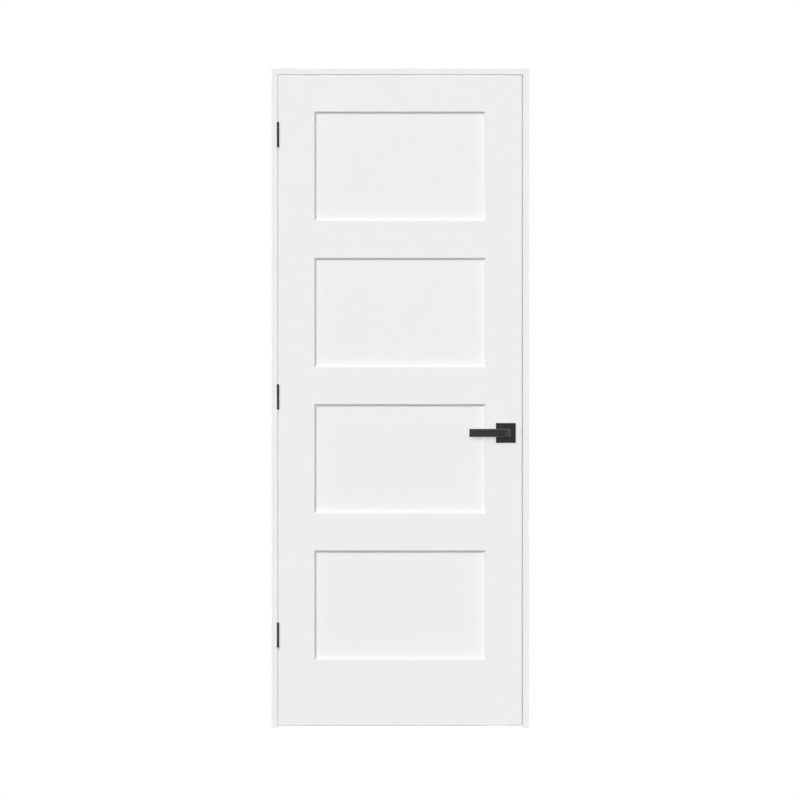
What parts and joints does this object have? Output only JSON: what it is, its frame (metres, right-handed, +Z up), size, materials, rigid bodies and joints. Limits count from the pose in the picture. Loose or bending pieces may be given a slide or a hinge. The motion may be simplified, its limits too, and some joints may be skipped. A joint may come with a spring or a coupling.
{
  "type": "panelled door with frame",
  "caption": "White painted panelled door hung on butt hinges in its own jamb frame, with stops, a black lever set on square roses and a spring latch.",
  "frame": {"origin": "At finished floor level, halfway across the frame's outer width, on the plane of the jambs' front edges, which is also the plane of the closed leaf's front face.", "axes": "X runs across the doorway from the hinge side to the latch side, Y runs through the wall from the front (hinge barrel side) to the back (stop side), Z is up."},
  "size_m": [0.804, 0.171, 2.059],
  "materials": {
    "painted_wood": "satin white paint",
    "raw_wood": "bare beech",
    "black_metal": "matt black coating",
    "steel": "bright zinc plated steel"
  },
  "bodies": {
    "frame": {"hinge_jamb": "painted_wood", "latch_jamb": "painted_wood", "head_jamb": "painted_wood", "hinge_stop": "painted_wood", "latch_stop": "painted_wood", "head_stop": "painted_wood", "stop_nails": "steel", "corner_screws": "steel", "upper_frame_hinge_leaf": "black_metal", "middle_frame_hinge_leaf": "black_metal", "lower_frame_hinge_leaf": "black_metal", "upper_hinge_pin": "black_metal", "middle_hinge_pin": "black_metal", "lower_hinge_pin": "black_metal", "hinge_pin_tips": "black_metal", "frame_hinge_screws": "black_metal", "strike_plate": "black_metal", "strike_screws": "black_metal"},
    "leaf": {"hinge_stile": "painted_wood", "latch_stile": "painted_wood", "top_rail": "painted_wood", "upper_rail": "painted_wood", "middle_rail": "painted_wood", "lower_rail": "painted_wood", "bottom_rail": "painted_wood", "top_panel": "painted_wood", "upper_panel": "painted_wood", "lower_panel": "painted_wood", "bottom_panel": "painted_wood", "rail_dowels": "raw_wood", "upper_door_hinge_leaf": "black_metal", "middle_door_hinge_leaf": "black_metal", "lower_door_hinge_leaf": "black_metal", "door_hinge_screws": "black_metal", "latch_case": "steel", "latch_spring": "steel", "latch_faceplate": "black_metal", "faceplate_screws": "black_metal", "front_rose": "black_metal", "back_rose": "black_metal", "front_rose_plate": "steel", "back_rose_plate": "steel", "rose_bolts": "steel"},
    "levers": {"front_lever": "black_metal", "back_lever": "black_metal", "spindle": "steel", "latch_cam": "steel", "lever_clips": "steel", "lever_grub_screws": "steel"},
    "bolt": {"latch_bolt": "steel"}
  },
  "joints": [
    {"name": "door_swing", "type": "hinge", "parent": "frame", "child": "leaf", "pos_m": [-0.38225, -0.0038, 1.0335], "axis": [0, 0, -1], "range_deg": [0, 170]},
    {"name": "lever_turn", "type": "hinge", "parent": "leaf", "child": "levers", "pos_m": [0.3295, 0.0175, 0.9205], "axis": [0, -1, 0], "range_deg": [0, 45], "stiffness_Nm_per_rad": 1.2, "springref_deg": -28.65},
    {"name": "latch_slide", "type": "slide", "parent": "leaf", "child": "bolt", "axis": [-1, 0, 0], "range_m": [0, 0.011], "deforming": ["latch_spring"]}
  ],
  "couplings": [
    {"joint": "latch_slide", "follows": "lever_turn", "m_per_rad": 0.014006}
  ]
}
